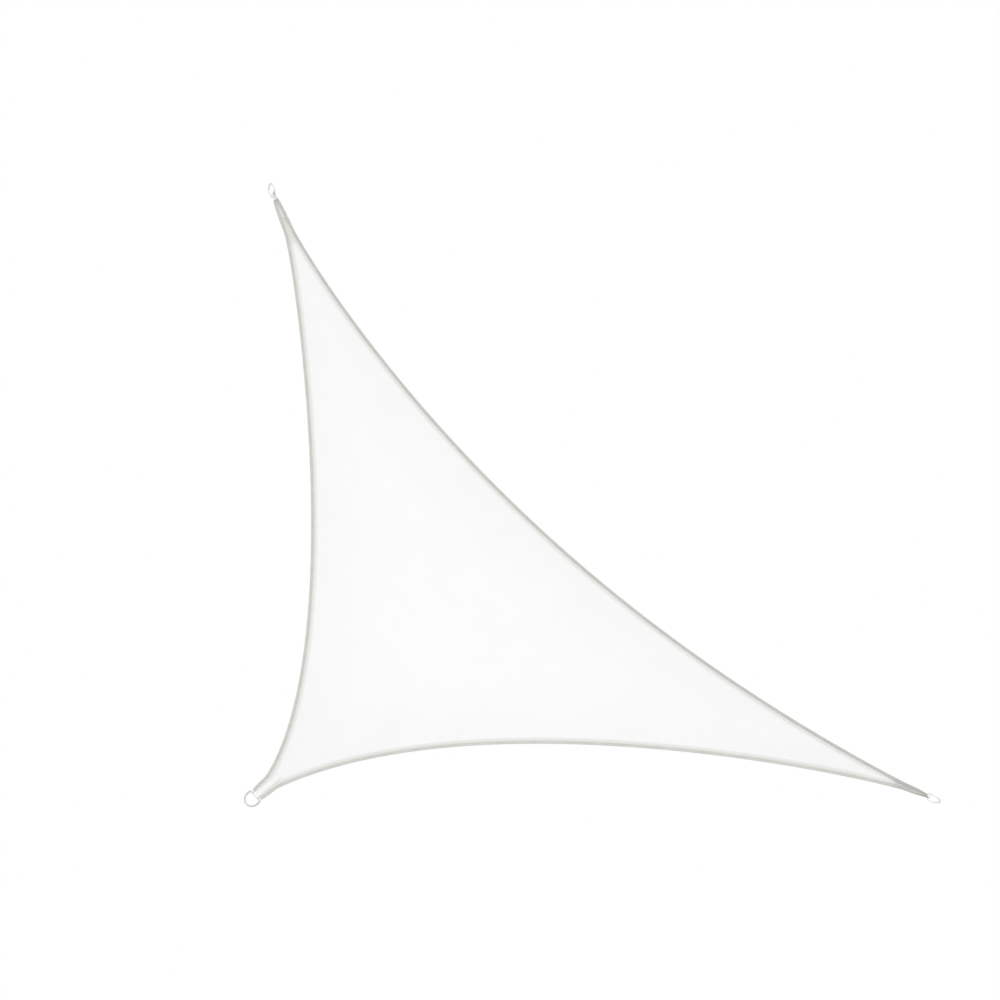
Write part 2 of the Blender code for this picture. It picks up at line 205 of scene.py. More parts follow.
ring = {
    "width": 0.072,         # over the outside
    "depth": 0.060,
    "wire": 0.008,
    "bend": 0.009,          # middle of the wire, where the bow meets the bar
    "sides": 28,
    "bowSteps": 60,
    "bendSteps": 14,
    "barSteps": 24,
    "weldAt": 0.0150,       # along the bar, beside the strap
    "weldLength": 0.0026,
    "weldHeight": 0.00055,
    "paintedReflection": {"square": 0.85, "side": 1.22, "top": 1.22},   # painted reflection: brightness of each ring's steel, not all three alike
}

barAt = ring["depth"] - 1.5 * ring["wire"]
clothEdge = tape["thickness"] + cloth["edgeAir"]
hemHalf = cloth["hem"] / 2
clothHalf = cloth["thickness"] / 2
tapeInner = hemHalf + tape["air"]
tapeOuter = tapeInner + tape["thickness"]
strapInner = hemHalf + strap["air"]
strapOuter = strapInner + strap["thickness"]
wrapInner = ring["wire"] / 2 + strap["air"]
wrapOuter = wrapInner + strap["thickness"]
neckWrap = ring["wire"] / 2 + cloth["edgeAir"] + strap["thickness"]   # room that the necks leave


def neckStart(corner):
    return barAt + neckWrap + corner["loop"]


def neckPoint(name, r, hand):
    corner = corners[name]
    origin, inward, sideways = axesOf[name]
    share = (r - neckStart(corner)) / (corner["reach"] - neckStart(corner))
    half = corner["tip"] + (corner["root"] - corner["tip"]) * share
    half += corner["swell"] * math.sin(math.pi * share)
    return origin + r * inward + hand * half * sideways


def turned(direction, degrees):
    return Matrix.Rotation(math.radians(degrees), 2) @ direction


def bezier(p0, p1, p2, p3, t):
    s = 1 - t
    return s ** 3 * p0 + 3 * s * s * t * p1 + 3 * s * t * t * p2 + t ** 3 * p3


drawing = {
    "rootBlend": 0.022,     # length over which a neck turns into its edge
    "rootSteps": 8,
    "curveSteps": 600,      # along each hollow-cut edge
    "fine": 0.0015,         # spacing of the edge's points that distances are measured to
    "rough": 0.02,          # and of those that tell inside from outside
}


def neckLine(name, hand):
    # outer edge of a neck, from its tip to where it starts to turn into the edge
    start = neckStart(corners[name])
    end = corners[name]["reach"] - drawing["rootBlend"]
    count = math.ceil((end - start) / tape["step"])
    return [neckPoint(name, start + (end - start) * i / count, hand) for i in range(count)]


def roundedBend(before, root, after):
    start = root + (before - root).normalized() * drawing["rootBlend"]
    end = root + (after - root).normalized() * drawing["rootBlend"]
    shares = (i / drawing["rootSteps"] for i in range(drawing["rootSteps"] + 1))
    return [(1 - t) ** 2 * start + 2 * (1 - t) * t * root + t * t * end for t in shares]


def evenly(points, step):
    # the same line with points about step apart
    lengths = [0.0]
    for p, q in zip(points, points[1:]):
        lengths.append(lengths[-1] + (q - p).length)
    count = max(round(lengths[-1] / step), 1)
    found, k = [], 1
    for i in range(count + 1):
        mark = lengths[-1] * i / count
        while k < len(points) - 1 and lengths[k] < mark:
            k += 1
        share = (mark - lengths[k - 1]) / max(lengths[k] - lengths[k - 1], 1e-9)
        found.append(points[k - 1].lerp(points[k], min(share, 1.0)))
    return found


def edgeLine(name, step):
    # outer edge from ring to ring, anticlockwise seen from above, with the inward direction
    edge = edges[name]
    first, last = edge["ends"]
    start = neckPoint(first, corners[first]["reach"], 1)
    end = neckPoint(last, corners[last]["reach"], -1)
    chord = (Vector(corners[last]["at"]) - Vector(corners[first]["at"])).normalized()
    leave = turned(chord, edge["angles"][0]) * edge["handles"][0]
    arrive = turned(chord, -edge["angles"][1]) * edge["handles"][1]
    curve = [bezier(start, start + leave, end - arrive, end, i / drawing["curveSteps"])
             for i in range(drawing["curveSteps"] + 1)]
    middle = [p for p in curve
              if min((p - start).length, (p - end).length) > drawing["rootBlend"]]
    neck, otherNeck = neckLine(first, 1), neckLine(last, -1)
    points = evenly(neck + roundedBend(neck[-1], start, middle[0]) + middle
                    + roundedBend(middle[-1], end, otherNeck[-1]) + otherNeck[::-1], step)
    line = []
    for i, point in enumerate(points):
        along = (points[min(i + 1, len(points) - 1)] - points[max(i - 1, 0)]).normalized()
        line.append((point, Vector((-along.y, along.x))))
    return line


edgeLines = {name: edgeLine(name, tape["step"]) for name in edges}
edgeLengths = {name: sum((q[0] - p[0]).length for p, q in zip(line, line[1:]))
               for name, line in edgeLines.items()}

fineEdge = [point for name in edges for point, _ in edgeLine(name, drawing["fine"])]
edgeTree = KDTree(len(fineEdge))
for index, point in enumerate(fineEdge):
    edgeTree.insert(point.to_3d(), index)
edgeTree.balance()


def edgeDistance(point):
    return edgeTree.find(point.to_3d())[2]


print("edges:", {name: round(length, 3) for name, length in edgeLengths.items()}, "m")


def linear(hexColour):
    channels = (int(hexColour[i:i + 2], 16) / 255 for i in (1, 3, 5))
    return tuple(c / 12.92 if c <= 0.04045 else ((c + 0.055) / 1.055) ** 2.4
                 for c in channels) + (1.0,)


def addNode(tree, kind, settings={}, inputs={}):
    node = tree.nodes.new(kind)
    for name, value in settings.items():
        setattr(node, name, value)
    for name, value in inputs.items():
        if isinstance(value, bpy.types.NodeSocket):
            tree.links.new(value, node.inputs[name])
        else:
            node.inputs[name].default_value = value
    return node


def newMaterial(name, settings):
    material = bpy.data.materials.new(name)
    material.use_nodes = True
    tree = material.node_tree
    shader = tree.nodes["Principled BSDF"]
    for socket, value in settings.items():
        shader.inputs[socket].default_value = value
    return material, tree, shader


# Knitted shade cloth, white HDPE monofilament: matt, a little light comes through it, and the
# rows of loops break up what little shine there is. A painted shade greys its colour beside the
# tape, where the hem is doubled, and more faintly over the outer part of the cloth.
knit = {
    "colour": "#f3f3f3",
    "hollowShade": "#ececec",     # painted shade between the loops
    "wale": 3.0,             # mm between columns of loops: 2.5 on the real cloth, drawn coarser
    "course": 2.4,           # mm between rows of loops: 2.0 on the real cloth
    "relief": 0.20,          # mm
    "cloudSize": 220.0,      # mm, slow changes of tension
    "cloudShade": 0.988,     # of the brightness, where it is slackest
    "hem": "#e8e8e3",        # painted shade beside the tape, where the hem is doubled: what the colour is multiplied by
    "hemShadeSpan": (12.5, 33.5),        # mm from the edge, where the painted hem shade is full and where it is gone
    "edgeShade": 0.975,      # painted shade: share of the brightness left near the edges
    "edgeShadeSpan": (40.0, 350.0),
}


def knittedCloth():
    material, tree, shader = newMaterial("knitted_white_hdpe", {
        "Roughness": 0.88, "IOR": 1.50, "Specular IOR Level": 0.25,
        "Subsurface Weight": 0.30, "Subsurface Scale": 0.0020,
        "Subsurface Radius": (1.0, 1.0, 1.0), "Sheen Weight": 0.05, "Sheen Roughness": 0.5})
    flat = addNode(tree, "ShaderNodeAttribute", {"attribute_name": "flatCut"})
    parts = addNode(tree, "ShaderNodeSeparateXYZ", {}, {0: flat.outputs["Vector"]})
    columns = addNode(tree, "ShaderNodeMath", {"operation": "MULTIPLY"},
                      {0: parts.outputs["X"], 1: 1000 / knit["wale"]})
    rows = addNode(tree, "ShaderNodeMath", {"operation": "MULTIPLY"},
                   {0: parts.outputs["Y"], 1: 1000 / knit["course"]})
    leg = addNode(tree, "ShaderNodeMath", {"operation": "PINGPONG"},
                  {0: columns.outputs[0], 1: 0.5})
    slanted = addNode(tree, "ShaderNodeMath", {"operation": "ADD"},
                      {0: rows.outputs[0], 1: leg.outputs[0]})
    loop = addNode(tree, "ShaderNodeMath", {"operation": "PINGPONG"},
                   {0: slanted.outputs[0], 1: 0.5})
    height = addNode(tree, "ShaderNodeMath", {"operation": "ADD"},
                     {0: loop.outputs[0], 1: leg.outputs[0]})
    share = addNode(tree, "ShaderNodeMapRange", {},
                    {"Value": height.outputs[0], "From Min": 0.1, "From Max": 0.8})
    colour = addNode(tree, "ShaderNodeMix", {"data_type": "RGBA"},
                     {"Factor": share.outputs[0], "A": linear(knit["hollowShade"]),
                      "B": linear(knit["colour"])})
    cloud = addNode(tree, "ShaderNodeTexNoise", {"noise_dimensions": "3D"},
                    {"Vector": flat.outputs["Vector"], "Scale": 1000 / knit["cloudSize"],
                     "Detail": 2.0, "Roughness": 0.5})
    tension = addNode(tree, "ShaderNodeMapRange", {},
                      {"Value": cloud.outputs["Fac"], "From Min": 0.3, "From Max": 0.7,
                       "To Min": knit["cloudShade"], "To Max": 1.0})
    # painted shade over the outer part of the cloth, fading out towards the middle
    start, end = (inset / 1000 for inset in knit["edgeShadeSpan"])
    edgeShadeRamp = addNode(tree, "ShaderNodeMapRange", {},
                   {"Value": parts.outputs["Z"], "From Min": start, "From Max": end,
                    "To Min": knit["edgeShade"], "To Max": 1.0})
    dimmed = addNode(tree, "ShaderNodeMath", {"operation": "MULTIPLY"},
                     {0: tension.outputs[0], 1: edgeShadeRamp.outputs[0]})
    # painted shade beside the tape, fading out across the hem
    start, end = (inset / 1000 for inset in knit["hemShadeSpan"])
    hemShadeRamp = addNode(tree, "ShaderNodeMapRange", {},
                     {"Value": parts.outputs["Z"], "From Min": start, "From Max": end})
    paintedHemShade = addNode(tree, "ShaderNodeMix", {"data_type": "RGBA"},
                      {"Factor": hemShadeRamp.outputs[0], "A": linear(knit["hem"]),
                       "B": (1.0, 1.0, 1.0, 1.0)})
    hemShadedColour = addNode(tree, "ShaderNodeVectorMath", {"operation": "MULTIPLY"},
                     {0: colour.outputs["Result"], 1: paintedHemShade.outputs["Result"]})
    shaded = addNode(tree, "ShaderNodeVectorMath", {"operation": "SCALE"},
                     {0: hemShadedColour.outputs[0], "Scale": dimmed.outputs[0]})
    tree.links.new(shaded.outputs[0], shader.inputs["Base Color"])
    bump = addNode(tree, "ShaderNodeBump", {},
                   {"Strength": 0.4, "Distance": knit["relief"] / 1000,
                    "Height": height.outputs[0]})
    tree.links.new(bump.outputs[0], shader.inputs["Normal"])
    return material


# Polypropylene binding tape, light grey: ribbed across, matt with a slight sheen.
binding = {
    "colour": "#c9c9c4",
    # painted shade in the grooves between ribs
    "grooveShade": "#b7b7b2",
    "rib": 1.6,              # mm between ribs: 0.8 on the real tape, drawn coarser
    "relief": 0.18,          # mm
    "wearSize": 45.0,        # mm
    "wear": (0.94, 1.04),    # of the brightness, where it is most and least worn
}


def ribbedTape():
    material, tree, shader = newMaterial("ribbed_grey_polypropylene_tape", {
        "Roughness": 0.72, "IOR": 1.49, "Sheen Weight": 0.12, "Sheen Roughness": 0.4})
    run = addNode(tree, "ShaderNodeAttribute", {"attribute_name": "alongStrip"})
    parts = addNode(tree, "ShaderNodeSeparateXYZ", {}, {0: run.outputs["Vector"]})
    ribs = addNode(tree, "ShaderNodeMath", {"operation": "MULTIPLY"},
                   {0: parts.outputs["X"], 1: 1000 / binding["rib"]})
    ridge = addNode(tree, "ShaderNodeMath", {"operation": "PINGPONG"},
                    {0: ribs.outputs[0], 1: 0.5})
    rounded = addNode(tree, "ShaderNodeMapRange", {"interpolation_type": "SMOOTHSTEP"},
                     {"Value": ridge.outputs[0], "From Min": 0.0, "From Max": 0.5})
    wear = addNode(tree, "ShaderNodeTexNoise", {},
                   {"Vector": run.outputs["Vector"], "Scale": 1000 / binding["wearSize"],
                    "Detail": 3.0})
    colour = addNode(tree, "ShaderNodeMix", {"data_type": "RGBA"},
                     {"Factor": rounded.outputs[0], "A": linear(binding["grooveShade"]),
                      "B": linear(binding["colour"])})
    fade = addNode(tree, "ShaderNodeMapRange", {},
                   {"Value": wear.outputs["Fac"], "From Min": 0.3, "From Max": 0.7,
                    "To Min": binding["wear"][0], "To Max": binding["wear"][1]})
    # the wear noise is the tape's own; the tone it is multiplied by is painted light and shade
    toned = addNode(tree, "ShaderNodeMath", {"operation": "MULTIPLY"},
                    {0: fade.outputs[0], 1: parts.outputs["Z"]})
    wornAndShaded = addNode(tree, "ShaderNodeVectorMath", {"operation": "SCALE"},
                   {0: colour.outputs["Result"], "Scale": toned.outputs[0]})
    tree.links.new(wornAndShaded.outputs[0], shader.inputs["Base Color"])
    bump = addNode(tree, "ShaderNodeBump", {},
                   {"Strength": 0.7, "Distance": binding["relief"] / 1000,
                    "Height": rounded.outputs[0]})
    tree.links.new(bump.outputs[0], shader.inputs["Normal"])
    return material


# Polyester webbing, white: a twill of thick yarns that catch the light in slanting rows, with painted
# shade between them.
weave = {
    "colour": "#f8f8f7",
    # painted shade between the yarns
    "grooveShade": "#ebebe9",
    "yarn": 1.5,             # mm
    "herringbone": 4.0,      # yarns across each slanting row
    "relief": 0.25,          # mm
}


def wovenWebbing():
    material, tree, shader = newMaterial("woven_white_polyester_webbing", {
        "Roughness": 0.66, "IOR": 1.53, "Sheen Weight": 0.15, "Sheen Roughness": 0.35})
    run = addNode(tree, "ShaderNodeAttribute", {"attribute_name": "alongStrip"})
    parts = addNode(tree, "ShaderNodeSeparateXYZ", {}, {0: run.outputs["Vector"]})
    along = addNode(tree, "ShaderNodeMath", {"operation": "MULTIPLY"},
                    {0: parts.outputs["X"], 1: 1000 / weave["yarn"]})
    across = addNode(tree, "ShaderNodeMath", {"operation": "MULTIPLY"},
                     {0: parts.outputs["Y"], 1: 1000 / weave["yarn"]})
    point = addNode(tree, "ShaderNodeMath", {"operation": "PINGPONG"},
                    {0: across.outputs[0], 1: weave["herringbone"]})
    slanted = addNode(tree, "ShaderNodeMath", {"operation": "ADD"},
                      {0: along.outputs[0], 1: point.outputs[0]})
    twill = addNode(tree, "ShaderNodeMath", {"operation": "PINGPONG"},
                    {0: slanted.outputs[0], 1: 0.5})
    yarns = addNode(tree, "ShaderNodeMath", {"operation": "PINGPONG"},
                    {0: across.outputs[0], 1: 0.5})
    height = addNode(tree, "ShaderNodeMath", {"operation": "ADD"},
                     {0: twill.outputs[0], 1: yarns.outputs[0]})
    colour = addNode(tree, "ShaderNodeMix", {"data_type": "RGBA"},
                     {"Factor": height.outputs[0], "A": linear(weave["grooveShade"]),
                      "B": linear(weave["colour"])})
    # darker where the strap carries painted shade, between the tapes of a narrow neck
    toned = addNode(tree, "ShaderNodeVectorMath", {"operation": "SCALE"},
                    {0: colour.outputs["Result"], "Scale": parts.outputs["Z"]})
    tree.links.new(toned.outputs[0], shader.inputs["Base Color"])
    bump = addNode(tree, "ShaderNodeBump", {},
                   {"Strength": 0.8, "Distance": weave["relief"] / 1000,
                    "Height": height.outputs[0]})
    tree.links.new(bump.outputs[0], shader.inputs["Normal"])
    return material


# Bonded polyester thread, twisted: a soft shine along each stitch.
threads = {
    "white": "#e6e6e2",
    "grey": "#a9a9a2",
    "ply": 0.5,              # mm
    "shade": (0.82, 1.06),   # of the brightness, between plies and on them
}


def twistedThread(name, hexColour):
    material, tree, shader = newMaterial(name, {"Roughness": 0.5, "IOR": 1.54})
    place3d = addNode(tree, "ShaderNodeTexCoord")
    plies = addNode(tree, "ShaderNodeTexNoise", {},
                    {"Vector": place3d.outputs["Object"], "Scale": 1000 / threads["ply"]})
    shade = addNode(tree, "ShaderNodeMapRange", {},
                    {"Value": plies.outputs["Fac"],
                     "To Min": threads["shade"][0], "To Max": threads["shade"][1]})
    colour = addNode(tree, "ShaderNodeVectorMath", {"operation": "SCALE"},
                     {0: linear(hexColour)[:3], "Scale": shade.outputs[0]})
    tree.links.new(colour.outputs[0], shader.inputs["Base Color"])
    return material


# Stainless steel wire, bent, welded and tumble-polished: bright, with fine scratches.
steel = {
    "colour": "#dededd",
    "scratch": 0.9,          # mm between scratches
    "drawn": 0.12,           # scratches run along the wire, this much slower than across
    "relief": 0.02,          # mm
    "roughness": (0.20, 0.34),
}


def polishedSteel():
    material, tree, shader = newMaterial("tumble_polished_stainless_steel", {"Metallic": 1.0})
    run = addNode(tree, "ShaderNodeAttribute", {"attribute_name": "alongStrip"})
    parts = addNode(tree, "ShaderNodeSeparateXYZ", {}, {0: run.outputs["Vector"]})
    # the steel's colour scaled by each ring's painted reflection
    paintedReflectionColour = addNode(tree, "ShaderNodeVectorMath", {"operation": "SCALE"},
                     {0: linear(steel["colour"])[:3], "Scale": parts.outputs["Z"]})
    tree.links.new(paintedReflectionColour.outputs[0], shader.inputs["Base Color"])
    drawn = addNode(tree, "ShaderNodeMapping", {},
                    {"Vector": run.outputs["Vector"], "Scale": (steel["drawn"], 1.0, 1.0)})
    scratches = addNode(tree, "ShaderNodeTexNoise", {},
                        {"Vector": drawn.outputs[0], "Scale": 1000 / steel["scratch"],
                         "Detail": 4.0, "Roughness": 0.65})
    dull = addNode(tree, "ShaderNodeMapRange", {},
                   {"Value": scratches.outputs["Fac"], "From Min": 0.35, "From Max": 0.75,
                    "To Min": steel["roughness"][0], "To Max": steel["roughness"][1]})
    tree.links.new(dull.outputs[0], shader.inputs["Roughness"])
    bump = addNode(tree, "ShaderNodeBump", {},
                   {"Strength": 0.3, "Distance": steel["relief"] / 1000,
                    "Height": scratches.outputs["Fac"]})
    tree.links.new(bump.outputs[0], shader.inputs["Normal"])
    return material


clothMaterial = knittedCloth()
tapeMaterial = ribbedTape()
webbingMaterial = wovenWebbing()
whiteThread = twistedThread("bonded_white_thread", threads["white"])
greyThread = twistedThread("bonded_grey_thread", threads["grey"])
steelMaterial = polishedSteel()
print("materials: cloth, tape, webbing, threads, steel")


def addPiece(name, mesh, material, nodes, coordinates=None, sharpAbove=50.0):
    # coordinates: attribute name and a vector for each vertex, which the material follows
    data = bpy.data.meshes.new(name)
    mesh.to_mesh(data)
    mesh.free()
    if coordinates:
        attributeName, vectors = coordinates
        attribute = data.attributes.new(attributeName, "FLOAT_VECTOR", "POINT")
        attribute.data.foreach_set("vector", [x for vector in vectors for x in vector])
    data.materials.append(material)
    data.shade_smooth()
    data.set_sharp_from_angle(angle=math.radians(sharpAbove))
    piece = bpy.data.objects.new(name, data)
    bpy.context.scene.collection.objects.link(piece)
    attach(piece, "root")
    if nodes:
        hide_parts(*nodes)
    return piece


def tube(sections, closed=False):
    # skin through equal sections of points, capped unless it is a closed loop
    mesh = bmesh.new()
    rings = [[mesh.verts.new(point) for point in section] for section in sections]
    pairs = list(zip(rings, rings[1:]))
    if closed:
        pairs.append((rings[-1], rings[0]))
    for near, far in pairs:
        for i in range(len(near)):
            j = (i + 1) % len(near)
            mesh.faces.new((near[i], near[j], far[j], far[i]))
    if not closed:
        mesh.faces.new(rings[0][::-1])
        mesh.faces.new(rings[-1])
    bmesh.ops.recalc_face_normals(mesh, faces=mesh.faces)
    return mesh


seamInsets = {"tape": tape["width"] - tape["seam"], "hem": cloth["hemWidth"] - cloth["hemSeam"]}
rowInsets = sorted((clothEdge, tape["width"], seamInsets["hem"], cloth["hemWidth"],
                    cloth["hemWidth"] + cloth["hemFall"], cloth["hemWidth"] + cloth["hemEase"],
                    *cloth["rows"]))


def halfThickness(inset, side):
    extra = hemHalf - clothHalf
    if side > 0:
        past = inset - cloth["hemWidth"] + cloth["hemLead"]
        rise = extra * smoothFall(past / cloth["hemEase"])
    else:
        rise = extra * smoothFall((inset - cloth["hemWidth"]) / cloth["hemFall"])
    off = (inset - seamInsets["hem"]) / cloth["dimpleWidth"]
    return clothHalf + rise - cloth["dimple"] * math.exp(-off * off)


outline = [section for name in edges for section in edgeLine(name, drawing["rough"])]
outlineTree = KDTree(len(outline))
for index, (point, _) in enumerate(outline):
    outlineTree.insert(point.to_3d(), index)
outlineTree.balance()


def isInside(point):
    near, inward = outline[outlineTree.find(point.to_3d())[1]]
    return (point - near).dot(inward) > 0


def clothPoints():
    points, lines, tips = [], [], {}
    for inset in rowInsets:
        for name in edges:
            kept = []
            for point, inward in edgeLine(name, cloth["step"]):
                inner = point + inset * inward
                kept.append(inset == clothEdge
                            or edgeDistance(inner) > inset - cloth["rowSlack"])
                if kept[-1]:
                    points.append(inner)
                    if len(kept) > 1 and kept[-2]:
                        lines.append((len(points) - 2, len(points) - 1))
            if inset == clothEdge:
                tips[name] = (len(points) - len(kept), len(points) - 1)
    order = list(edges)
    for name, following in zip(order, order[1:] + order[:1]):
        lines.append((tips[name][1], tips[following][0]))
    rowPitch = cloth["grid"] * math.sqrt(0.75)
    for i in range(math.ceil(sail["side"] / rowPitch)):
        for j in range(math.ceil(sail["side"] / cloth["grid"])):
            point = Vector(((j + 0.5 * (i % 2)) * cloth["grid"], i * rowPitch))
            if (point.x + point.y < sail["side"] and edgeDistance(point) > cloth["gridKeepsOff"]
                    and isInside(point)):
                points.append(point)
    return points, lines


def narrowNeck(flat, within):
    # the narrow corner that a point lies at, if any, how far from its hook and off its middle
    for name, corner in corners.items():
        origin, inward, sideways = axesOf[name]
        r = (flat - origin).dot(inward)
        if corner["turn"] and r < within:
            return name, r, abs((flat - origin).dot(sideways))
    return None, math.inf, math.inf


def fallBetween(span, r):
    return smoothFall((r - span[0]) / (span[1] - span[0]))


def neckHemShadeAt(flat):
    neck, r, _ = narrowNeck(flat, cloth["neckHemShadeSpan"][1])
    return 1 - (1 - cloth["neckHemShade"].get(neck, 1.0)) * fallBetween(cloth["neckHemShadeSpan"], r)


def makeCloth():
    points, lines = clothPoints()
    result = delaunay_2d_cdt(points, lines, [], 1, 1e-6)
    flat, _, faces = result[:3]
    insets = [edgeDistance(p) for p in flat]
    mesh = bmesh.new()
    upper = [mesh.verts.new(place(p.x, p.y, halfThickness(d, 1))) for p, d in zip(flat, insets)]
    under = [mesh.verts.new(place(p.x, p.y, -halfThickness(d, -1))) for p, d in zip(flat, insets)]
    sides = set()
    for face in faces:
        mesh.faces.new([upper[i] for i in face])
        mesh.faces.new([under[i] for i in reversed(face)])
        sides |= set(zip(face, face[1:] + face[:1]))
    for a, b in sorted(sides):
        if (b, a) not in sides:
            mesh.faces.new((upper[b], upper[a], under[a], under[b]))
    # both faces carry their place on the cut cloth and their distance from its edge, scaled in the narrow
    # necks for the painted hem shade
    laidFlat = [(p.x, p.y, d * neckHemShadeAt(p)) for p, d in zip(flat, insets)]
    width, length = (max(p[axis] for p in flat) - min(p[axis] for p in flat) for axis in (0, 1))
    hemArea = cloth["hemWidth"] * sum(edgeLengths.values())
    cut = {"flat": (round(width, 2), round(length, 2)),
           "area": round(sum(face.calc_area() for face in mesh.faces) / 2 + hemArea, 2)}
    piece = addPiece("sail_cloth_knitted", mesh, clothMaterial, ["sail_cloth"],
                     ("flatCut", laidFlat + laidFlat))
    return piece, cut


clothPiece, clothCut = makeCloth()
print("cloth:", len(clothPiece.data.polygons), "faces, cut", clothCut)


def tapeLift(flat):
    # where a strap lies between hem and tape, the tape stands up over it
    r = narrowNeck(flat, tape["lift"][1])[1]
    return (strap["thickness"] + strap["air"]) * fallBetween(tape["lift"], r)


def tapeProfile(width, lift):
    # outline of the folded tape as (inset, height), round the outside and back inside
    outer, inner = tapeOuter + lift, tapeInner + lift
    high = width * tape["crownAt"]
    outside = [(width, outer), (high, outer + tape["crown"])]
    inside = [(width, -inner), (high, -inner)]
    for i in range(tape["foldSteps"] + 1):
        angle = math.pi * i / tape["foldSteps"]
        outside.append((tapeOuter - tapeOuter * math.sin(angle), outer * math.cos(angle)))
        inside.append((tapeOuter - tapeInner * math.sin(angle), -inner * math.cos(angle)))
    outside += [(high, -outer - tape["crown"]), (width, -outer)]
    inside += [(high, inner), (width, inner)]
    return outside + inside


def wander(s, seed):
    # slow uneven line of a seam sewn by hand and eye, from -1 to 1
    return (math.sin(s * 17 + seed) + 0.6 * math.sin(s * 41 + 2.1 * seed)
            + 0.4 * math.sin(s * 97 + 3.7 * seed)) / 2


def makeTape(name, seed):
    closeUpTo = max(end for _, end in tape["close"].values())
    sections, runs = [], []
    travelled, before = 0.0, None
    for point, inward in edgeLines[name]:
        travelled += (point - before).length if before else 0.0
        before = point
        neck, r, half = narrowNeck(point, closeUpTo)
        # painted light of each edge, times the painted shade of the narrow necks
        paintedLight, closing, spread = tape["paintedLight"][name], 0.0, 0.0
        # painted shade on the tapes of the narrow necks, darker still by their tips
        if neck:
            paintedLight *= 1 - (1 - tape["wornAndShaded"][neck]) * fallBetween(tape["neckShadeSpan"], r)
            paintedLight *= 1 - (1 - tape["tipShade"][neck]) * fallBetween(tape["tipShadeSpan"], r)
            closing = fallBetween(tape["close"][neck], r)
            spread = tape["spread"][neck] * closing
        width = min(tape["width"] + spread
                    + tape["wander"] * (1 - closing) * wander(travelled, seed),
                    half - tape["air"])       # the two never overlap
        section = []
        for inset, height in tapeProfile(width, tapeLift(point)):
            flat = point + inset * inward
            section.append(place(flat.x, flat.y, height))
            runs.append((travelled, inset, paintedLight))
        sections.append(section)
    piece = addPiece("binding_tape_" + name, tube(sections), tapeMaterial,
                     ["tape_" + name], ("alongStrip", runs), 60.0)
    return piece


tapePieces = {name: makeTape(name, seed) for seed, name in enumerate(edges, 1)}
print("tape:", ", ".join(tapePieces))


def strapPath(corner):
    # (r, height) of the strap's middle, from its upper end round the bar to its lower end
    middle = (strapInner + strapOuter) / 2
    wrap = (wrapInner + wrapOuter) / 2
    start = neckStart(corner)
    reach = Vector((start - barAt, middle))
    lift = math.atan2(reach.y, reach.x) + math.acos(min(wrap / reach.length, 1.0))
    count = math.ceil((strap["reach"] - start) / strap["step"])
    run = [start + (strap["reach"] - start) * i / count for i in range(count + 1)]
    turns = []
    for i in range(strap["wrapSteps"] + 1):
        angle = lift + (2 * math.pi - 2 * lift) * i / strap["wrapSteps"]
        turns.append(Vector((barAt + wrap * math.cos(angle), wrap * math.sin(angle))))
    bare = evenly([Vector((start, middle)), turns[0]], strap["step"] / 2)[1:-1]
    upper = [Vector((r, middle)) for r in reversed(run)] + bare
    lower = [Vector((spot.x, -spot.y)) for spot in reversed(upper)]
    return upper + turns + lower


# across the strap: share of the half width, and share of the thickness left there
strapProfile = ((-1.0, 0.35), (-0.93, 0.85), (-0.6, 1.0), (0.0, 1.0), (0.6, 1.0), (0.93, 0.85),
                (1.0, 0.35))


def placeAt(name, r, q, h):
    origin, inward, sideways = axesOf[name]
    flat = origin + r * inward + q * sideways
    return place(flat.x, flat.y, h)


def makeStrap(name):
    path = strapPath(corners[name])
    sections, runs = [], []
    travelled = 0.0
    for i, middle in enumerate(path):
        ahead = path[min(i + 1, len(path) - 1)] - path[max(i - 1, 0)]
        out = Vector((ahead.y, -ahead.x)).normalized()
        travelled += (middle - path[i - 1]).length if i else 0.0
        covered = middle.x - neckStart(corners[name])
        # painted shade on the strap between the tapes of a narrow neck
        inNeck = smoothFall((strap["paintedNeckShadeFade"] - covered) / strap["paintedNeckShadeFade"])
        paintedLight = 1 - inNeck * (1 - strap["paintedNeckShade"]) if corners[name]["turn"] else 1.0
        section = []
        for sign, profile in ((1, strapProfile), (-1, strapProfile[::-1])):
            for share, thickness in profile:
                half = sign * thickness * strap["thickness"] / 2
                spot = middle + out * half
                q = share * strap["width"] / 2
                section.append(placeAt(name, spot.x, q, spot.y))
                runs.append((travelled, q, paintedLight))
        sections.append(section)
    piece = addPiece("webbing_strap_" + name, tube(sections), webbingMaterial,
                     ["strap_" + name], ("alongStrip", runs), 60.0)
    return piece


def ringFrame(name):
    # X inward, Z square to the turned neck
    origin, inward, sideways = axesOf[name]
    angle = math.radians(corners[name]["turn"])
    side = sideways.to_3d()
    up = Vector((0.0, 0.0, 1.0))
    y = -math.cos(angle) * side - math.sin(angle) * up
    z = math.cos(angle) * up - math.sin(angle) * side
    matrix = Matrix((inward.to_3d(), y, z)).transposed().to_4x4()
    matrix.translation = origin.to_3d()
    return Matrix.Rotation(math.radians(sail["pitch"]), 4, "X") @ matrix


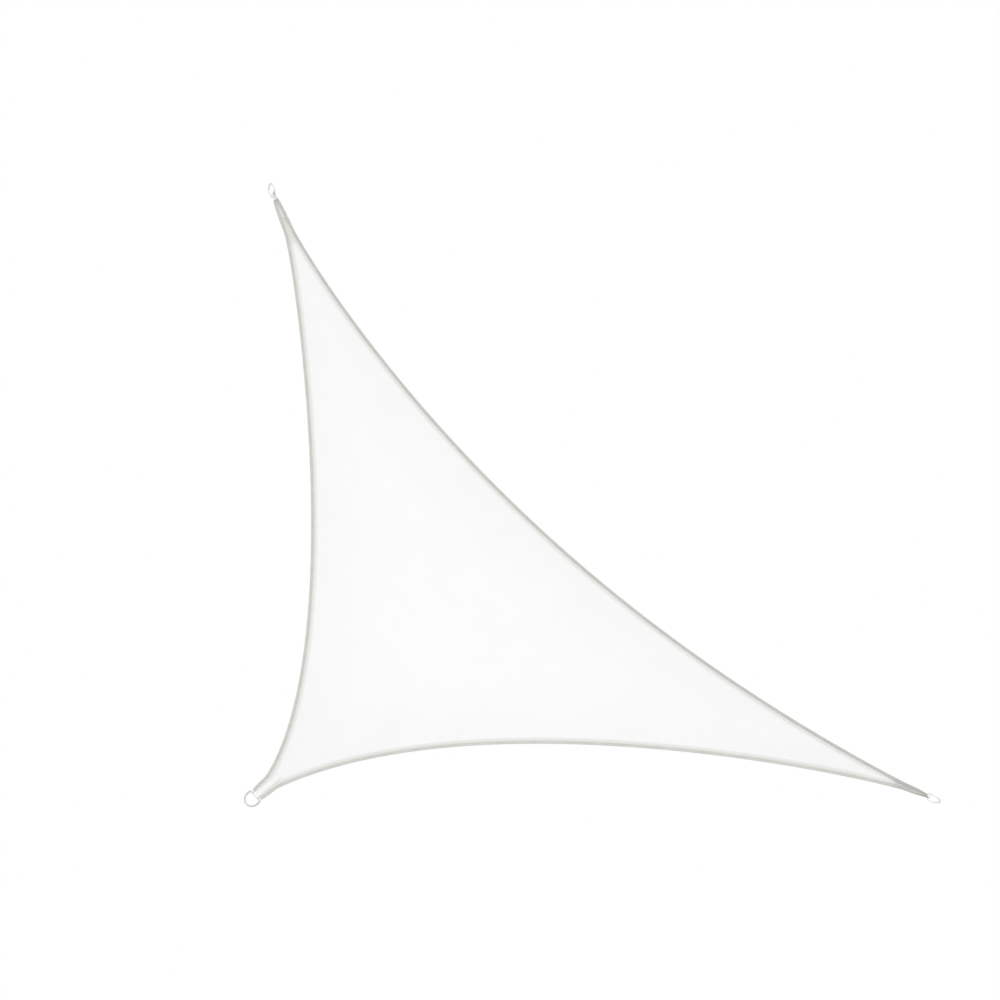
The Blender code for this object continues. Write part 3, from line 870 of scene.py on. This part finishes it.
def ringPath():
    # middle of the wire with its outward direction, from the bow round the bar
    half = (ring["width"] - ring["wire"]) / 2
    bendX, bendY = barAt - ring["bend"], half - ring["bend"]
    arcs = ((half - ring["wire"] / 2, 0.0, half, 90.0, 270.0, ring["bowSteps"]),
            (bendX, -bendY, ring["bend"], 270.0, 360.0, ring["bendSteps"]),
            (bendX, bendY, ring["bend"], 0.0, 90.0, ring["bendSteps"]))
    path = []
    for x, y, radius, start, end, steps in arcs:
        for i in range(steps + 1):
            angle = math.radians(start + (end - start) * i / steps)
            out = Vector((math.cos(angle), math.sin(angle), 0.0))
            path.append((Vector((x, y, 0.0)) + radius * out, out))
        if x == bendX and y < 0:      # the straight bar, with points round the weld
            for i in range(1, ring["barSteps"]):
                along = -bendY + 2 * bendY * i / ring["barSteps"]
                path.append((Vector((barAt, along, 0.0)), Vector((1.0, 0.0, 0.0))))
    return path


def makeRing(name):
    matrix = ringFrame(name)
    weld = Vector((barAt, ring["weldAt"], 0.0))
    sections, runs = [], []
    travelled, before = 0.0, None
    for middle, out in ringPath():
        travelled += (middle - before).length if before else 0.0
        before = middle
        off = (middle - weld).length / ring["weldLength"]
        radius = ring["wire"] / 2 + ring["weldHeight"] * math.exp(-off * off)
        section = []
        for k in range(ring["sides"]):
            turn = 2 * math.pi * k / ring["sides"]
            wall = math.cos(turn) * out + math.sin(turn) * Vector((0.0, 0.0, 1.0))
            section.append(matrix @ (middle + radius * wall))
            runs.append((travelled, radius * turn, ring["paintedReflection"][name]))
        sections.append(section)
    return addPiece("d_ring_" + name, tube(sections, closed=True), steelMaterial,
                    ["ring_" + name], ("alongStrip", runs), 80.0)


ringPieces = {name: makeRing(name) for name in corners}
strapPieces = {name: makeStrap(name) for name in corners}
print("rings and straps:", ", ".join(ringPieces))


seam = {
    "pitch": 0.0048,        # a stitch and the gap after it
    "length": 0.0040,
    "width": 0.0007,
    "height": 0.00042,
    "sink": 0.0002,         # its ends and underside lie this deep in the cloth
    "stations": (-0.5, -0.3, 0.3, 0.5),   # shares of its length: tip, body and tip
    "wander": 0.0001,       # how far stitches stray from their row
    "drawn": 0.004,         # spacing of the points that a row on a strap is drawn with
    "rowSlack": 0.0006,     # how much nearer to another edge a row may come
    "strapEnd": 0.005,      # from the neck's tip and the strap's end to the first stitches
    "boxInset": 0.003,      # from the sides of the square corner's strap to its box
    "neckRow": 0.0102,      # from the middle of a narrow neck to its rows
    "tackRows": 4,
    "tackPitch": 0.0012,
    "tackInset": 0.0025,    # from the sides of a narrow neck's tip to its tack
}


def addStitches(mesh, points, side, surfaceAt, seed):
    # a row of stitches along flat points, on the upper (1) or under (-1) face
    tip = [(0.0, -seam["sink"])]
    body = [(-seam["width"] / 2, 0.0), (0.0, seam["height"]), (seam["width"] / 2, 0.0),
            (0.0, -seam["sink"])]
    spots = evenly(points, seam["pitch"])
    for i, (spot, following) in enumerate(zip(spots, spots[1:])):
        along = following - spot
        if along.length < seam["pitch"] / 2:
            continue
        along.normalize()
        across = Vector((-along.y, along.x))
        middle = (spot + following) / 2 + across * seam["wander"] * wander(i * 0.37, seed)
        stations = []
        for share, profile in zip(seam["stations"], (tip, body, body, tip)):
            base = middle + along * share * seam["length"]
            station = []
            for q, rise in profile:
                flat = base + across * q
                height = side * (surfaceAt(middle) + rise)
                station.append(mesh.verts.new(place(flat.x, flat.y, height)))
            stations.append(station)
        (start,), near, far, (end,) = stations
        for k in range(len(body)):
            j = (k + 1) % len(body)
            for face in ((near[k], near[j], far[j], far[k]), (start, near[j], near[k]),
                         (end, far[k], far[j])):
                mesh.faces.new(face if side < 0 else face[::-1])


def seamRow(name, inset):
    # a seam's line along an edge, left out where another hem is nearer
    return [point + inset * inward for point, inward in edgeLines[name]
            if edgeDistance(point + inset * inward) > inset - seam["rowSlack"]]


def onTape(flat):
    return tapeOuter + tapeLift(flat)


def onHem(flat):
    return hemHalf - cloth["dimple"]


def onStrap(flat):
    return strapOuter


def flatLines(name, lines):
    # lines given from a corner's hook as (r, q), on the flat cloth
    origin, inward, sideways = axesOf[name]
    return [evenly([origin + r * inward + q * sideways for r, q in line], seam["drawn"])
            for line in lines]


def boxStitch(near, far, half):
    # a box on the strap with a line across its middle and a cross in both halves
    middle = (near + far) / 2
    return [((near, -half), (far, -half)), ((far, -half), (far, half)),
            ((far, half), (near, half)), ((near, half), (near, -half)),
            ((middle, -half), (middle, half)),
            ((near, -half), (middle, half)), ((near, half), (middle, -half)),
            ((middle, -half), (far, half)), ((middle, half), (far, -half))]


def neckStitch(near, far, half, tip):
    # a row through tape and strap on either side, and a tack of short rows across the tip
    tack = [((r, -tip), (r, tip))
            for r in (near + i * seam["tackPitch"] for i in range(seam["tackRows"]))]
    return [((near, -half), (far, -half)), ((near, half), (far, half))] + tack


def makeSewing(name, rows, surfaceAt, material):
    mesh = bmesh.new()
    for seed, points in enumerate(rows, 1):
        for side in (1, -1):
            addStitches(mesh, points, side, surfaceAt, seed)
    return addPiece(name, mesh, material, [], None, 30.0)


tapeRows = [seamRow(name, seamInsets["tape"]) for name in edges]
hemRows = [seamRow(name, seamInsets["hem"]) for name in edges]
strapRows = []
for name, corner in corners.items():
    near, far = neckStart(corner) + seam["strapEnd"], strap["reach"] - seam["strapEnd"]
    if corner["turn"]:
        tip = corner["tip"] - seam["tackInset"]
        tapeRows += flatLines(name, neckStitch(near, far, seam["neckRow"], tip))
    else:
        half = strap["width"] / 2 - seam["boxInset"]
        strapRows += flatLines(name, boxStitch(near, far, half))
tapeSeams = makeSewing("tape_sewing", tapeRows, onTape, greyThread)
hemSeams = makeSewing("hem_sewing", hemRows, onHem, whiteThread)
strapSeams = makeSewing("strap_sewing", strapRows, onStrap, whiteThread)
print("sewing: tape, hem and straps")


studio = {
    "floorBelow": 2.4,        # m under the square corner
    "floorSize": 120.0,
    "floorMiddle": (1.0, 1.0),
    "floorCloud": 0.3,        # changes of tone in a metre
    "floorColour": "#e2e2e0",
    "floorDust": "#dcdcda",
    "skyStrength": 0.835,
    "sunStrength": 0.60,
    "sunAngle": 70.0,         # wide, as through a large diffuser
    "sunFrom": (0.25, 0.45, 0.86),
    "boxSize": 4.0,           # m
    "boxAt": (1.3, -0.60, 4.2),
    "boxAim": (1.3, 1.20, 0.75),
    "boxPower": 38.0,
}


def burntOut(tree, shaderSocket, outputNode):
    # so bright that a lens sees pure white, while the set itself gets its ordinary soft light
    white = addNode(tree, "ShaderNodeEmission", {}, {"Color": (1.0, 1.0, 1.0, 1.0)})
    seen = addNode(tree, "ShaderNodeLightPath")
    choice = addNode(tree, "ShaderNodeMixShader", {}, {0: seen.outputs["Is Camera Ray"],
                                                      1: shaderSocket, 2: white.outputs[0]})
    tree.links.new(choice.outputs[0], outputNode.inputs["Surface"])


# Matt white studio floor, painted: a very slow change of tone.
floorMaterial, floorTree, floorShader = newMaterial("painted_studio_floor",
                                                    {"Roughness": 0.9})
floorTone = addNode(floorTree, "ShaderNodeTexNoise", {}, {"Scale": studio["floorCloud"]})
floorColour = addNode(floorTree, "ShaderNodeMix", {"data_type": "RGBA"},
                      {"Factor": floorTone.outputs["Fac"], "A": linear(studio["floorDust"]),
                       "B": linear(studio["floorColour"])})
floorTree.links.new(floorColour.outputs["Result"], floorShader.inputs["Base Color"])
burntOut(floorTree, floorShader.outputs[0], floorTree.nodes["Material Output"])

floorMesh = bpy.data.meshes.new("floor")
reach = studio["floorSize"] / 2
floorMesh.from_pydata([(-reach, -reach, 0), (reach, -reach, 0), (reach, reach, 0),
                       (-reach, reach, 0)], [], [(0, 1, 2, 3)])
floorMesh.materials.append(floorMaterial)
floor = bpy.data.objects.new("floor", floorMesh)
floor.location = (*studio["floorMiddle"], -studio["floorBelow"])
bpy.context.scene.collection.objects.link(floor)

world = bpy.data.worlds.new("studio")
world.use_nodes = True
sky = world.node_tree.nodes["Background"]
sky.inputs["Color"].default_value = (1.0, 1.0, 1.0, 1.0)
sky.inputs["Strength"].default_value = studio["skyStrength"]
burntOut(world.node_tree, sky.outputs[0], world.node_tree.nodes["World Output"])
bpy.context.scene.world = world


def addLight(name, kind, settings, location, aim):
    light = bpy.data.objects.new(name, bpy.data.lights.new(name, kind))
    for setting, value in settings.items():
        setattr(light.data, setting, value)
    light.location = location
    light.rotation_euler = (Vector(aim) - Vector(location)).to_track_quat("-Z", "Y").to_euler()
    light.visible_camera = False
    bpy.context.scene.collection.objects.link(light)


addLight("wide_sun", "SUN", {"energy": studio["sunStrength"],
                             "angle": math.radians(studio["sunAngle"])},
         studio["sunFrom"], (0.0, 0.0, 0.0))
addLight("soft_box", "AREA", {"energy": studio["boxPower"], "size": studio["boxSize"]},
         studio["boxAt"], studio["boxAim"])

lens = {
    "focal": 77.0,                       # mm
    "sensor": 36.0,                      # mm
    "at": (1.0689, -6.2241, 6.9946),
    "lookAt": (1.1004, 1.2051, 0.6958),
}
camera = bpy.data.objects.new("camera", bpy.data.cameras.new("camera"))
camera.data.lens = lens["focal"]
camera.data.sensor_width = lens["sensor"]
camera.location = lens["at"]
gaze = Vector(lens["lookAt"]) - Vector(lens["at"])
camera.rotation_euler = gaze.to_track_quat("-Z", "Y").to_euler()
bpy.context.scene.collection.objects.link(camera)
bpy.context.scene.camera = camera

bpy.context.scene.view_settings.view_transform = "Standard"
print("stage: floor, sky, lights, camera")
